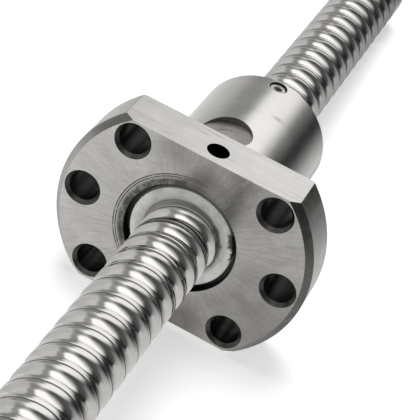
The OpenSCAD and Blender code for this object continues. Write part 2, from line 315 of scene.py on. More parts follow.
def bolt_hole_tree():
    """The six screw holes as solid plugs: three and three on the bolt circle, each with its mouth."""
    tree, w, given, out = geometry_tree("flange_holes", BOLT_LENGTHS, [])
    index = w.add("GeometryNodeInputIndex").outputs[0]
    side = w.math("FLOOR", w.math("DIVIDE", w.plus(index, 0.5), BOLTS_A_SIDE))
    of_side = w.minus(w.minus(index, w.times(side, BOLTS_A_SIDE)), 1.0)
    angle = w.linear(of_side, given["Spacing"], w.times(side, math.pi))
    across = w.times(given["Circle radius"], w.math("COSINE", angle))
    up = w.times(given["Circle radius"], w.math("SINE", angle))
    middles = {"Count": 2 * BOLTS_A_SIDE, "Position": w.combine(0.0, across, up)}
    points = w.make("GeometryNodePoints", middles)
    shank = w.make("GeometryNodeMeshCylinder", {
        "Vertices": HOLE_STEPS, "Radius": given["Hole radius"], "Depth": given["Length"]
    })
    tall = w.plus(given["Mouth depth"], OVER * MM)
    mouth = w.make("GeometryNodeMeshCone", {
        "Vertices": HOLE_STEPS, "Radius Bottom": given["Hole radius"],
        "Radius Top": w.plus(given["Hole radius"], tall), "Depth": tall
    })
    floor = w.combine(0.0, 0.0, w.minus(given["Front"], given["Mouth depth"]))
    mouth = w.make("GeometryNodeTransform", {"Geometry": mouth, "Translation": floor})
    bore = w.add("GeometryNodeMeshBoolean", {1: mouth}, operation="UNION", solver="EXACT")
    w.feed(bore.inputs[1], shank)
    aim = {"Geometry": bore.outputs[0], "Rotation": (0.0, math.pi / 2, 0.0)}
    plug = w.make("GeometryNodeTransform", aim)
    put_out(w, w.make("GeometryNodeInstanceOnPoints", {"Points": points, "Instance": plug}), given, out)
    return tree


# Mesh helpers

def piece_from(name, data):
    """New object of a mesh, a light or a camera, in the scene."""
    piece = bpy.data.objects.new(name, data)
    bpy.context.scene.collection.objects.link(piece)
    return piece


def mesh_from(name, bm):
    """New mesh from a bmesh, which it frees."""
    mesh = bpy.data.meshes.new(name)
    bm.to_mesh(mesh)
    bm.free()
    return mesh


def finish_mesh(mesh, sharp_degrees=30.0):
    """Smooth faces with hard edges where they turn by more than the angle."""
    mesh.polygons.foreach_set("use_smooth", [True] * len(mesh.polygons))
    mesh.set_sharp_from_angle(angle=math.radians(sharp_degrees))
    mesh.update()


def add_ring(bm, x, r, steps):
    """Ring of vertices round the screw's axis."""
    turns = [math.tau * k / steps for k in range(steps)]
    return [bm.verts.new((x * MM, r * MM * math.cos(turn), r * MM * math.sin(turn))) for turn in turns]


def join_rings(bm, a, b):
    """Faces between two rings; a ring of one point closes the skin."""
    n = max(len(a), len(b))
    for k in range(n):
        m = (k + 1) % n
        if len(a) == 1:
            bm.faces.new((a[0], b[m], b[k]))
        elif len(b) == 1:
            bm.faces.new((a[k], a[m], b[0]))
        else:
            bm.faces.new((a[k], a[m], b[m], b[k]))


def add_outline(bm, outline, steps, start=None):
    """Rings through the outline's (x, radius) points, joined one to the next."""
    last = start
    for x, r in outline:
        ring = add_ring(bm, x, r, steps) if r > 0 else [bm.verts.new((x * MM, 0, 0))]
        if last:
            join_rings(bm, last, ring)
        last = ring
    return last


def turned_mesh(name, outline, steps, closed=False):
    """Solid of the outline spun about the screw's axis; a closed outline makes a hoop."""
    bm = bmesh.new()
    last = add_outline(bm, outline, steps)
    if closed:
        bm.verts.ensure_lookup_table()
        join_rings(bm, last, bm.verts[:steps])
    bmesh.ops.recalc_face_normals(bm, faces=bm.faces)
    return mesh_from(name, bm)


def end_ring(bm, x, steps):
    """The open end of a skin at one place along the axis, in order round it."""
    ring = {}
    for edge in bm.edges:
        if edge.is_boundary:
            for vert in edge.verts:
                if abs(vert.co.x - x * MM) < 2 * WELD * MM:
                    turn = math.atan2(vert.co.z, vert.co.y) / math.tau
                    ring[round(turn * steps) % steps] = vert
    return [ring[k] for k in range(steps)]


def radial_solid(name, x, turn, low, high, r, mouth=0.0, steps=96):
    """Round plug standing out from the axis, to cut a radial hole; its mouth widens at the top."""
    bm = bmesh.new()
    turns = [math.tau * k / steps for k in range(steps)]
    floor, top = [[bm.verts.new((radius * math.cos(k) * MM, radius * math.sin(k) * MM, height * MM))
                   for k in turns] for height, radius in [(low, r), (high, r + mouth)]]
    join_rings(bm, floor, top)
    bm.faces.new(floor)
    bm.faces.new(top)
    bmesh.ops.recalc_face_normals(bm, faces=bm.faces)
    tilt = Quaternion((1, 0, 0), math.radians(turn - 90.0))
    for vert in bm.verts:
        vert.co = tilt @ vert.co + Vector((x * MM, 0, 0))
    return mesh_from(name, bm)


def block_mesh(name, low, high):
    """Block between two opposite corners, in millimetres."""
    bm = bmesh.new()
    bmesh.ops.create_cube(bm, size=1.0)
    for vert in bm.verts:
        for axis in range(3):
            vert.co[axis] = (low[axis] if vert.co[axis] < 0 else high[axis]) * MM
    return mesh_from(name, bm)


def cut(mesh, tool, operation="DIFFERENCE"):
    """Mesh after one exact boolean with the tool mesh."""
    blank = piece_from("blank", mesh)
    cutter = piece_from("cutter", tool)
    modifier = blank.modifiers.new("cut", "BOOLEAN")
    modifier.operation = operation
    modifier.solver = "EXACT"
    modifier.object = cutter
    result = evaluated_mesh(blank)
    bpy.data.objects.remove(blank)
    bpy.data.objects.remove(cutter)
    return result


def broken_edges(mesh, width):
    """Mesh with its hard edges broken by a small bevel."""
    blank = piece_from("blank", mesh)
    modifier = blank.modifiers.new("edges", "BEVEL")
    modifier.width = width * MM
    modifier.segments = 2
    modifier.limit_method = "ANGLE"
    modifier.angle_limit = math.radians(30.0)
    modifier.use_clamp_overlap = True
    result = evaluated_mesh(blank)
    bpy.data.objects.remove(blank)
    return result


# Materials

# Plain finishes: dark and light shade, roughness from and to, grain, its fineness, relief, grain's share.
STEELS = {
    "flange_rim": ((0.5, 0.49, 0.47), (0.7, 0.69, 0.67), 0.22, 0.34, "round", 0.5, 0.2, 0.5),
    "milled_flat": ((0.6, 0.585, 0.56), (0.78, 0.775, 0.765), 0.25, 0.36, "flat", 0.28, 0.25, 0.55),
    "ground_body": ((0.72, 0.71, 0.69), (0.82, 0.81, 0.795), 0.15, 0.23, "round", 0.8, 0.05, 0.5),
    "mount_face": ((0.5, 0.49, 0.47), (0.68, 0.67, 0.65), 0.24, 0.38, "face", 0.6, 0.12, 0.35),
    "hole_mouth": ((0.06, 0.058, 0.055), (0.14, 0.137, 0.13), 0.3, 0.45, "plain", 1.0, 0.2, 0.5),
    # painted shade: near-black walls of the holes, the bore and the seats
    "hole_painted_shade": ((0.006, 0.006, 0.006), (0.04, 0.038, 0.036), 0.25, 0.45, "plain", 1.0, 0.1, 0.5),
    "black_steel": ((0.03, 0.03, 0.032), (0.07, 0.07, 0.072), 0.35, 0.5, "plain", 1.0, 0.1, 0.25),
    "plug_steel": ((0.5, 0.49, 0.475), (0.66, 0.65, 0.635), 0.28, 0.42, "plain", 1.0, 0.1, 0.25),
    "ball_steel": ((0.7, 0.7, 0.71), (0.8, 0.8, 0.82), 0.05, 0.1, "plain", 1.0, 0.01, 0.25),
}
FINE_GRAIN = 9000.0
LONG_GRAIN = {"round": 70.0, "face": 120.0, "flat": 90.0}
PLAIN_GRAIN = 2500.0

FACE_DARK = (0.5, 0.485, 0.465, 1.0)
FACE_LIGHT = (0.73, 0.72, 0.7, 1.0)
WORN_BLACK = (0.035, 0.033, 0.03, 1.0)
# grey of the painted shade and painted reflection on the flange's face
PAINTED_SHADE_GREY = (0.12, 0.11, 0.105, 1.0)
# painted light and painted shade of the chamfer and the pocket walls
CHAMFER_LIT_LEFT = (0.32, 0.315, 0.305, 1.0)
CHAMFER_SHADED_RIGHT = (0.15, 0.145, 0.14, 1.0)
CHAMFER_PALE = (0.6, 0.59, 0.58, 1.0)
SCUFF_GREY = (0.3, 0.29, 0.28, 1.0)
SCORE_BROWN = (0.3, 0.26, 0.2, 1.0)
THREAD_DARK = (0.64, 0.63, 0.615, 1.0)
THREAD_LIGHT = (0.76, 0.75, 0.74, 1.0)
SEAM_BLACK = (0.11, 0.10, 0.095, 1.0)
# colour of the painted shade on the screw near the table
THREAD_PAINTED_SHADE = (0.03, 0.03, 0.03, 1.0)
PLASTIC = (0.86, 0.85, 0.82, 1.0)
# dark of the dirt and of the painted shade on the wiper
GRIME_AND_SHADE = (0.055, 0.052, 0.047, 1.0)
LEDGE_BLACK = (0.012, 0.012, 0.011, 1.0)

# Patches of painted shade and painted reflection on the flange's face: middle across and up, full and zero
# radius in mm, share of the dark.
FACE_PAINTED_SHADES = [(0.0, 10.3, 0.3, 4.6, 0.55), (4.5, -13.5, 1.5, 8.0, 0.72), (14.0, -7.5, 3.0, 13.0, 0.42),
               (-4.5, 14.0, 1.0, 6.0, 0.4)]
# Radii of the two thin worn rings on the flange's face, in mm
WORN_RINGS = (10.08, 10.42)
# The scuff on the body, in mm: how far back and across its middle lies, and how it leans
SCUFF_X = 16.7
SCUFF_Y = 3.0
SCUFF_LEAN = 0.25
# Height of the table under the part, which lies on the flange's edge and the screw's far end
FLOOR_DROP = 14.5
FLOOR_SLOPE = 0.09167


def fresh_wiring(owner):
    """Empties the node tree of a material or a world, to be wired anew."""
    owner.use_nodes = True
    owner.node_tree.nodes.clear()
    return Wiring(owner.node_tree)


def new_material(name, metallic=1.0):
    """New material with one shader, bare metal unless it is told otherwise."""
    material = bpy.data.materials.new(name)
    w = fresh_wiring(material)
    shader = w.add("ShaderNodeBsdfPrincipled", {"Metallic": metallic})
    w.add("ShaderNodeOutputMaterial", {"Surface": shader.outputs[0]})
    return material, w, shader


def shape_coordinates(w):
    """A place on the part, its x, y and z, and its distance from the screw's axis, in metres."""
    place = w.add("ShaderNodeTexCoord").outputs["Object"]
    x, y, z = w.separate(place)[:3]
    radius = w.math("SQRT", w.plus(w.times(y, y), w.times(z, z)))
    return place, x, y, z, radius


def stretched(w, *parts):
    """Vector of three (value, factor) pairs, which draws noise out along the smaller factors."""
    return w.combine(*[w.times(value, factor) for value, factor in parts])


def weigh(w, a, b, share):
    """Mean of two values, the first with this share and the second with the rest."""
    return w.plus(w.times(a, share), w.times(b, 1.0 - share))


def coat(w, shader, colour, rough):
    """Gives a finish its colour and its roughness."""
    w.feed(shader.inputs["Base Color"], colour)
    w.feed(shader.inputs["Roughness"], rough)


def emboss(w, shader, height, strength, depth):
    """Shallow relief from a pattern, its depth in millimetres."""
    relief = {"Strength": strength, "Distance": depth * MM, "Height": height}
    w.feed(shader.inputs["Normal"], w.make("ShaderNodeBump", relief))


def grain_place(w, grain, fineness, x, y, z, radius):
    """Where the grain's noise is read: round (turned skin), face (turned end), flat (milled) or plain."""
    if grain == "plain":
        return stretched(w, (x, PLAIN_GRAIN), (y, PLAIN_GRAIN), (z, PLAIN_GRAIN))
    across = radius if grain == "face" else x
    return stretched(w, (across, FINE_GRAIN * fineness), (y, LONG_GRAIN[grain]), (z, LONG_GRAIN[grain]))


def steel(name):
    """Bare steel with the finish that the table gives under this name."""
    dark, light, rough_low, rough_high, grain, fineness, bump, streak = STEELS[name]
    material, w, shader = new_material(name)
    place, x, y, z, radius = shape_coordinates(w)
    lines = w.noise(grain_place(w, grain, fineness, x, y, z, radius), 1.0, 4.0, 0.7)
    clouds = w.noise(place, 260.0, 4.0, 0.55)
    specks = w.noise(place, 1900.0, 3.0, 0.6)
    shade = weigh(w, w.ramp(lines, 0.3, 0.7), w.ramp(clouds, 0.35, 0.65), streak)
    rough = w.ramp(weigh(w, clouds, specks, 0.6), 0.3, 0.7, rough_low, rough_high)
    coat(w, shader, w.mix(shade, dark + (1.0,), light + (1.0,)), rough)
    emboss(w, shader, lines, bump, 0.01)
    return material


def spot(w, y, z, at_y, at_z, inner, outer):
    """One inside a soft round spot on the face, fading to nothing at its outer radius, in millimetres."""
    across = w.minus(y, at_y * MM)
    up = w.minus(z, at_z * MM)
    away = w.math("SQRT", w.plus(w.times(across, across), w.times(up, up)))
    return w.ramp(away, inner * MM, outer * MM, 1.0, 0.0)


def scratches(w, y, z, degrees, fine, coarse):
    """Noise drawn out into fine straight scratches at one angle across the face."""
    c = math.cos(math.radians(degrees))
    s = math.sin(math.radians(degrees))
    along = w.plus(w.times(y, c * coarse), w.times(z, s * coarse))
    across = w.minus(w.times(z, c * fine), w.times(y, s * fine))
    return w.noise(w.combine(along, across, degrees), 1.0, 3.0, 0.65)


def worn_rings(w, place, y, radius, clouds):
    """Share of the two thin worn rings and the mottled band inside them, on the left only."""
    inner, outer = [w.math("ABSOLUTE", w.minus(radius, r * MM)) for r in WORN_RINGS]
    ring = w.ramp(w.math("MINIMUM", inner, outer), 0.04 * MM, 0.13 * MM, 1.0, 0.0)
    ring = w.times(ring, w.ramp(clouds, 0.32, 0.46))
    mottle = w.ramp(w.noise(place, 700.0, 7.0, 0.85), 0.36, 0.52, 0.5, 1.0)
    band = w.times(w.ramp(radius, 10.1 * MM, 9.5 * MM), mottle)
    worn = w.math("MAXIMUM", w.times(ring, 0.95), w.times(band, 0.88))
    return w.times(worn, w.ramp(y, 3.0 * MM, -3.0 * MM))


def face_steel():
    """The flange's front: straight grinding strokes, a fan of radial strokes that is painted sheen of the
    turned face, worn rings and patches of painted shade and painted reflection.
    """
    material, w, shader = new_material("flange_face")
    place, _, y, z, radius = shape_coordinates(w)
    clouds = w.noise(place, 300.0, 4.0, 0.6)
    specks = w.noise(place, 1900.0, 3.0, 0.6)
    strokes = scratches(w, y, z, 20.0, 3400.0, 200.0)
    # painted sheen: a fan of radial light and dark strokes, standing in for the turned face's reflection
    turn_y = w.math("DIVIDE", y, radius)
    turn_z = w.math("DIVIDE", z, radius)
    fan = w.noise(stretched(w, (turn_y, 42.0), (turn_z, 42.0), (radius, 170.0)), 1.0, 4.0, 0.7)
    lines = weigh(w, strokes, fan, 0.35)
    shade = weigh(w, w.ramp(lines, 0.38, 0.62), w.ramp(clouds, 0.35, 0.65), 0.6)
    base = w.mix(shade, FACE_DARK, FACE_LIGHT)
    base = w.mix(worn_rings(w, place, y, radius, clouds), base, WORN_BLACK)
    # painted shade and painted reflection: soft grey patches laid over the face
    patch = 0.0
    for at_y, at_z, inner, outer, share in FACE_PAINTED_SHADES:
        patch = w.math("MAXIMUM", patch, w.times(spot(w, y, z, at_y, at_z, inner, outer), share))
    rough = w.ramp(weigh(w, clouds, specks, 0.6), 0.3, 0.7, 0.2, 0.32)
    coat(w, shader, w.mix(patch, base, PAINTED_SHADE_GREY), rough)
    emboss(w, shader, lines, 0.16, 0.01)
    return material


def chamfer_steel():
    """The flange's turned chamfer and the pocket walls, with painted light at the lower left and painted
    shade on the right and toward the top.
    """
    material, w, shader = new_material("chamfer")
    place, _, y, z, _ = shape_coordinates(w)
    clouds = w.noise(place, 420.0, 4.0, 0.6)
    # painted light and shade: lighter at the lower left, darker to the right and toward the top
    right = w.ramp(w.linear(z, 0.55, y), -13.0 * MM, -1.0 * MM)
    top = w.ramp(z, 5.5 * MM, 11.5 * MM, 0.0, 0.85)
    base = w.mix(w.math("MAXIMUM", right, top), CHAMFER_LIT_LEFT, CHAMFER_SHADED_RIGHT)
    pale = w.ramp(clouds, 0.5, 0.72, 0.0, 0.22)
    coat(w, shader, w.mix(pale, base, CHAMFER_PALE), w.ramp(clouds, 0.3, 0.7, 0.26, 0.4))
    return material


def lay_over(w, share, colour):
    """Lays a colour over a finish that is already wired, where the share is more than 0."""
    shader = next(node for node in w.tree.nodes if node.type == "BSDF_PRINCIPLED")
    skin = shader.inputs["Base Color"].links[0].from_socket
    w.feed(shader.inputs["Base Color"], w.mix(share, skin, colour))


def scuffed_body():
    """The nut's ground body, with one soft scuff on its top."""
    material = steel("ground_body")
    w = Wiring(material.node_tree)
    place, x, y, z, _ = shape_coordinates(w)
    along = w.math("ABSOLUTE", w.linear(y, SCUFF_LEAN, w.plus(x, SCUFF_X * MM)))
    across = w.math("ABSOLUTE", w.minus(y, SCUFF_Y * MM))
    mark = w.times(w.ramp(along, 0.1 * MM, 0.9 * MM, 1.0, 0.0),
                  w.ramp(across, 0.2 * MM, 1.5 * MM, 1.0, 0.0))
    mark = w.times(mark, w.ramp(z, 0.0, 2.0 * MM))
    mark = w.times(mark, w.ramp(w.noise(place, 500.0, 2.0, 0.5), 0.35, 0.6, 0.4, 1.0))
    lay_over(w, w.times(mark, 0.55), SCUFF_GREY)
    return material


def scored_flat():
    """The milled flats, with a few thin brown scores along them."""
    material = steel("milled_flat")
    w = Wiring(material.node_tree)
    _, x, y, z, _ = shape_coordinates(w)
    lines = w.noise(stretched(w, (x, 1700.0), (y, 120.0), (z, 1.0)), 1.0, 2.0, 0.5)
    lay_over(w, w.ramp(lines, 0.64, 0.7, 0.0, 0.5), SCORE_BROWN)
    return material


def thread_steel():
    """Screw steel: bright in the groove, a dark rough seam along the land's crest, and painted shade low on
    the right, near the table.
    """
    material, w, shader = new_material("thread_steel")
    place, x, y, z, _ = shape_coordinates(w)
    lines = w.noise(stretched(w, (x, 5200.0), (y, 160.0), (z, 160.0)), 1.0, 4.0, 0.7)
    clouds = w.noise(place, 420.0, 3.0, 0.5)
    base = w.mix(w.ramp(weigh(w, lines, clouds, 0.5), 0.35, 0.65), THREAD_DARK, THREAD_LIGHT)
    seam = w.add("ShaderNodeAttribute", attribute_name="seam").outputs["Fac"]
    crest = w.ramp(seam, 0.1, 0.9)
    base = w.mix(crest, base, SEAM_BLACK)
    # painted shade: darker low on the right side, the nearer the screw lies to the table
    above = w.plus(z, w.linear(x, FLOOR_SLOPE, FLOOR_DROP * MM))
    low = w.times(w.ramp(above, 4.0 * MM, 15.0 * MM, 0.85, 0.0), w.ramp(y, -1.0 * MM, 3.0 * MM))
    rough = w.linear(crest, 0.25, w.ramp(clouds, 0.3, 0.7, 0.1, 0.17))
    coat(w, shader, w.mix(low, base, THREAD_PAINTED_SHADE), rough)
    emboss(w, shader, lines, 0.12, 0.01)
    return material


def wiper_stain(w, place, y, z, radius):
    """Ragged dark stain at the wiper's rim and beside the thread, low on the right."""
    warp = w.times(w.minus(w.noise(place, 1000.0, 4.0, 0.7), 0.5), 5.5 * MM)
    height = w.plus(z, warp)
    depth = w.plus(radius, w.times(warp, 0.45))
    stain = w.math("MAXIMUM", w.ramp(depth, 7.25 * MM, 7.6 * MM),
                   w.ramp(depth, 6.1 * MM, 6.5 * MM, 0.75, 0.0))
    for low, high, start, end in [(0.4, 1.0, 0.0, 1.0), (4.1, 4.7, 1.0, 0.0)]:
        stain = w.times(stain, w.ramp(height, low * MM, high * MM, start, end))
    return w.times(stain, w.ramp(y, 0.0, MM))


def wiper_plastic():
    """Pale moulded plastic: fine turned rings, patchy dirt, painted shade toward the screw, a dark stain and
    a dark ledge.
    """
    material, w, shader = new_material("wiper_plastic", metallic=0.0)
    place, _, y, z, radius = shape_coordinates(w)
    rings = w.noise(stretched(w, (radius, 7000.0), (y, 60.0), (z, 60.0)), 1.0, 3.0, 0.6)
    clouds = w.noise(place, 500.0, 4.0, 0.6)
    grime_and_shade = w.times(w.ramp(clouds, 0.45, 0.75), 0.35)
    # painted shade: darker toward the screw, where the wiper meets the thread
    ragged = w.plus(radius, w.times(clouds, 0.6 * MM))
    inner = w.ramp(ragged, 6.2 * MM, 6.9 * MM, 0.5, 0.0)
    stain = wiper_stain(w, place, y, z, radius)
    grime_and_shade = w.math("MAXIMUM", grime_and_shade, w.math("MAXIMUM", inner, stain))
    ledge = w.ramp(radius, 8.01 * MM, 8.04 * MM)
    colour = w.mix(ledge, w.mix(grime_and_shade, PLASTIC, GRIME_AND_SHADE), LEDGE_BLACK)
    coat(w, shader, colour, w.ramp(grime_and_shade, 0.0, 0.8, 0.38, 0.6))
    emboss(w, shader, rings, 0.15, 0.02)
    return material


# Pieces

def winding(start, end):
    """Place of the first land and number of whole turns of a ball thread between two ends."""
    first = RETURN_X[0] - LEAD * FIRST_TURN / 360.0
    first += LEAD * math.ceil((start + THREAD_MARGIN * LEAD - first) / LEAD)
    turns = math.floor((end - first - (1 + THREAD_MARGIN) * LEAD) / LEAD)
    return first, turns


def ball_thread(skin, material):
    """Open skin of the screw's ball thread, with the seam along its crest."""
    first, turns = winding(THREAD_BACK, THREAD_FRONT)
    return grown_mesh("ball_thread", skin, {
        "Start": (THREAD_BACK + END_CHAMFER) * MM, "End": (THREAD_FRONT - END_CHAMFER) * MM,
        "Lead": LEAD * MM, "First land": first * MM, "Turns": turns, "Steps": STEPS, "Rows": SCREW_ROWS,
        "Land radius": LAND_R * MM, "Groove radius": GROOVE_R * MM, "Groove centre": SCREW_GROOVE_AT * MM,
        "Groove side": -1.0, "Groove half angle": math.acos((SCREW_GROOVE_AT - LAND_R) / GROOVE_R),
        "Land share": SCREW_LAND_ROWS / SCREW_ROWS, "Fade turns": 0.75,
        "Seam half width": SEAM_HALF * MM, "Seam depth": SEAM_DEEP * MM, "Vee depth": 0.0,
    }, material)


def locknut_thread(skin, material):
    """Open skin of the locknut's vee thread."""
    return grown_mesh("locknut_thread", skin, {
        "Start": LOCKNUT_FROM * MM, "End": LOCKNUT_TO * MM, "Lead": LOCKNUT_PITCH * MM,
        "First land": LOCKNUT_FIRST * MM, "Turns": LOCKNUT_TURNS, "Steps": STEPS, "Rows": LOCKNUT_ROWS,
        "Land radius": FIXED_R * MM, "Groove radius": LOCKNUT_PITCH / 2 * MM, "Groove centre": FIXED_R * MM,
        "Groove side": 0.0, "Groove half angle": math.pi / 2, "Land share": 0.0, "Fade turns": 0.5,
        "Seam half width": NO_SEAM * MM, "Seam depth": 0.0, "Vee depth": LOCKNUT_DEEP * MM,
    }, material)


def screw_piece(skin, shaft_steel):
    """The whole bar: ball thread and locknut thread wound by the tree, joined by turned journals."""
    bm = bmesh.new()
    bm.from_mesh(ball_thread(skin, shaft_steel))
    bm.from_mesh(locknut_thread(skin, shaft_steel))
    rear = end_ring(bm, THREAD_BACK + END_CHAMFER, STEPS)
    front = end_ring(bm, THREAD_FRONT - END_CHAMFER, STEPS)
    vee_rear = end_ring(bm, LOCKNUT_FROM, STEPS)
    vee_front = end_ring(bm, LOCKNUT_TO, STEPS)
    last = add_outline(bm, [
        (THREAD_FRONT, LAND_R - END_CHAMFER), (THREAD_FRONT, FIXED_R), (FIXED_END - SEAT_CHAMFER, FIXED_R),
        (FIXED_END, FIXED_R - SEAT_CHAMFER), (FIXED_END, RELIEF_R), (LOCKNUT_FROM - END_CHAMFER, RELIEF_R)
    ], STEPS, front)
    join_rings(bm, last, vee_rear)
    add_outline(bm, [
        (LOCKNUT_TO + LOCKNUT_RUNOUT, FIXED_R - END_CHAMFER), (LOCKNUT_END, RELIEF_R + LOCKNUT_RIM),
        (LOCKNUT_END, DRIVE_R), (DRIVE_END - END_CHAMFER, DRIVE_R), (DRIVE_END, DRIVE_R - END_CHAMFER),
        (DRIVE_END, CENTRE_R), (DRIVE_END - CENTRE_DEEP, 0)
    ], STEPS, vee_front)
    add_outline(bm, [
        (THREAD_BACK, LAND_R - END_CHAMFER), (THREAD_BACK, FLOAT_R), (RING_AT, FLOAT_R),
        (RING_AT, RING_CORE), (RING_AT - RING_SLOT, RING_CORE), (RING_AT - RING_SLOT, FLOAT_R),
        (FLOAT_END + END_CHAMFER, FLOAT_R), (FLOAT_END, FLOAT_R - END_CHAMFER), (FLOAT_END, CENTRE_R),
        (FLOAT_END + CENTRE_DEEP, 0)
    ], STEPS, rear)
    bmesh.ops.recalc_face_normals(bm, faces=bm.faces)
    mesh = mesh_from("screw", bm)
    mesh.materials.append(shaft_steel)
    finish_mesh(mesh, sharp_degrees=24.0)
    piece = piece_from("screw", mesh)
    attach(piece, "screw")
    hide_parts("screw_shaft")
    return piece


def bore_tool(skin, material):
    """Solid that cuts the nut's bore with the ball groove in its wall."""
    start = REAR - OVER
    end = FRONT + OVER
    first, turns = winding(start, end)
    mesh = grown_mesh("bore", skin, {
        "Start": start * MM, "End": end * MM, "Lead": LEAD * MM, "First land": first * MM, "Turns": turns,
        "Steps": STEPS, "Rows": NUT_ROWS, "Land radius": BORE_R * MM, "Groove radius": GROOVE_R * MM,
        "Groove centre": NUT_GROOVE_AT * MM, "Groove side": 1.0,
        "Groove half angle": math.acos((BORE_R - NUT_GROOVE_AT) / GROOVE_R),
        "Land share": NUT_LAND_ROWS / NUT_ROWS, "Fade turns": 0.25,
        "Seam half width": NO_SEAM * MM, "Seam depth": 0.0, "Vee depth": 0.0,
    }, material)
    bm = bmesh.new()
    bm.from_mesh(mesh)
    bm.faces.new(end_ring(bm, start, STEPS))
    bm.faces.new(end_ring(bm, end, STEPS))
    bmesh.ops.recalc_face_normals(bm, faces=bm.faces)
    bm.to_mesh(mesh)
    bm.free()
    return mesh


NUT_FINISHES = ["flange_face", "flange_rim", "milled_flat", "ground_body", "hole_painted_shade", "mount_face",
                "chamfer", "hole_mouth"]
# How near a face has to lie to the surface whose finish it gets, how squarely it has to face the same way,
# and the radius inside which all is hole
NEAR = 0.05
NEARER = 0.02
FACE_NEAR = 0.03
POCKET_NEAR = 0.08
SQUARELY = 0.9
HOLE_WITHIN = 8.5


def on_pocket_wall(x, y, z):
    """Whether a point of the nut lies on the wall of one of the round return pockets."""
    for middle, turn in zip(RETURN_X, RETURN_TURN):
        angle = math.radians(turn)
        out = y * math.cos(angle) + z * math.sin(angle)
        aside = z * math.cos(angle) - y * math.sin(angle)
        if out > 0 and abs(math.hypot(x - middle, aside) - POCKET_R) < POCKET_NEAR:
            return True
    return False


def nut_finish(centre, normal):
    """Which finish a face of the nut gets, by its place and the way it points."""
    x, y, z = centre / MM
    r = math.hypot(y, z)
    chamfer_r = FLANGE_R - CHAMFER
    if r > LOCK_FLOOR and on_pocket_wall(x, y, z):
        return "chamfer"
    # painted shade in the holes, the bore and the seats
    if r < FRONT_SEAT_R + NEARER and x > 0 or r < HOLE_WITHIN:
        return "hole_painted_shade"
    mouth_deep = x > FRONT - BOLT_CHAMFER - NEARER
    if mouth_deep and 0.4 < normal.x < 0.95 and FRONT_SEAT_R + 1 < r < chamfer_r:
        return "hole_mouth"
    if x > FRONT - FACE_NEAR and normal.x > SQUARELY:
        return "flange_face"
    if abs(z) > FLAT_Z - NEAR and abs(normal.z) > SQUARELY and x > 0:
        return "milled_flat"
    if r > chamfer_r - NEAR and x > FRONT - CHAMFER:
        return "chamfer"
    if r > chamfer_r - NEAR and x > 0:
        return "flange_rim"
    if x < NEAR and abs(normal.x) > SQUARELY:
        return "mount_face"
    if x < NEAR and (r > BODY_R - NEAR or x < REAR + 0.5):
        return "ground_body"
    return "hole_painted_shade"


def flange_blank():
    """Spun blank of the nut with its flange, cut to the two flats."""
    blank = turned_mesh("nut", [
        (REAR, CORE_R), (REAR, BODY_R - REAR_CHAMFER), (REAR + REAR_CHAMFER, BODY_R), (0.0, BODY_R),
        (0.0, FLANGE_R - SEAT_CHAMFER), (SEAT_CHAMFER, FLANGE_R), (FRONT - CHAMFER, FLANGE_R),
        (FRONT, FLANGE_R - CHAMFER), (FRONT, CORE_R)
    ], NUT_STEPS, closed=True)
    wide = 2 * FLANGE_R
    low = (REAR - 5 * OVER, -wide, -FLAT_Z)
    high = (FRONT + 5 * OVER, wide, FLAT_Z)
    return cut(blank, block_mesh("flats", low, high), "INTERSECT")


def seat_tool(name, start, end, r):
    """Disc that cuts the round seat of a wiper into the nut's end."""
    return turned_mesh(name, [(start, 0), (start, r), (end, r), (end, 0)], NUT_STEPS)


def nut_piece(skin, finishes):
    """Ground nut with its flange: spun blank, two flats, screw holes, pockets, oil port and seats."""
    blank = flange_blank()
    holes = grown_mesh("flange_holes", bolt_hole_tree(), {
        "Circle radius": BOLT_CIRCLE_R * MM, "Spacing": math.radians(BOLT_ANGLE), "Hole radius": BOLT_R * MM,
        "Length": 4 * FRONT * MM, "Mouth depth": BOLT_CHAMFER * MM, "Front": FRONT * MM
    }, finishes["hole_painted_shade"])
    blank = cut(blank, holes)
    out = BODY_R + 2 * OVER
    for x, turn in zip(RETURN_X, RETURN_TURN):
        blank = cut(blank, radial_solid("pocket", x, turn, POCKET_FROM, out, POCKET_R))
    oil_top = FLAT_Z + 2 * OVER
    blank = cut(blank, radial_solid("oil_port", OIL_X, 90.0, OIL_FLOOR, oil_top, OIL_R, steps=HOLE_STEPS))
    lock_x = REAR + LOCK_BACK
    low = BODY_R - LOCK_MOUTH
    high = BODY_R + LOCK_MOUTH
    blank = cut(blank, radial_solid("lock", lock_x, 90.0, LOCK_FLOOR, out, LOCK_R, steps=HOLE_STEPS))
    blank = cut(blank, radial_solid("lock_mouth", lock_x, 90.0, low, high, LOCK_R, LOCK_FLARE, HOLE_STEPS))
    blank = cut(blank, seat_tool("front_seat", FRONT - FRONT_SEAT, FRONT + OVER, FRONT_SEAT_R))
    blank = cut(blank, seat_tool("rear_seat", REAR - OVER, REAR + REAR_SEAT, REAR_SEAT_R))
    blank = broken_edges(blank, EDGE_BREAK)
    passage = radial_solid("oil_passage", OIL_X, 90.0, PASSAGE_FROM, OIL_FLOOR + OVER, PASSAGE_R, steps=32)
    blank = cut(blank, passage)
    mesh = cut(blank, bore_tool(skin, finishes["hole_painted_shade"]))
    mesh.materials.clear()
    for name in NUT_FINISHES:
        mesh.materials.append(finishes[name])
    for face in mesh.polygons:
        face.material_index = NUT_FINISHES.index(nut_finish(face.center, face.normal))
    finish_mesh(mesh)
    mesh.name = "nut"
    piece = piece_from("nut", mesh)
    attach(piece, "nut")
    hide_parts("nut_body")
    return piece


def thread_radius(x, angle):
    """Radius of the ball thread at one place along the axis and one angle round it."""
    across = abs((x - RETURN_X[0] - LEAD * (angle - FIRST_TURN) / 360.0) % LEAD - LEAD / 2)
    if across >= GROOVE_R:
        return LAND_R
    return min(LAND_R, SCREW_GROOVE_AT - math.sqrt(GROOVE_R ** 2 - across ** 2))


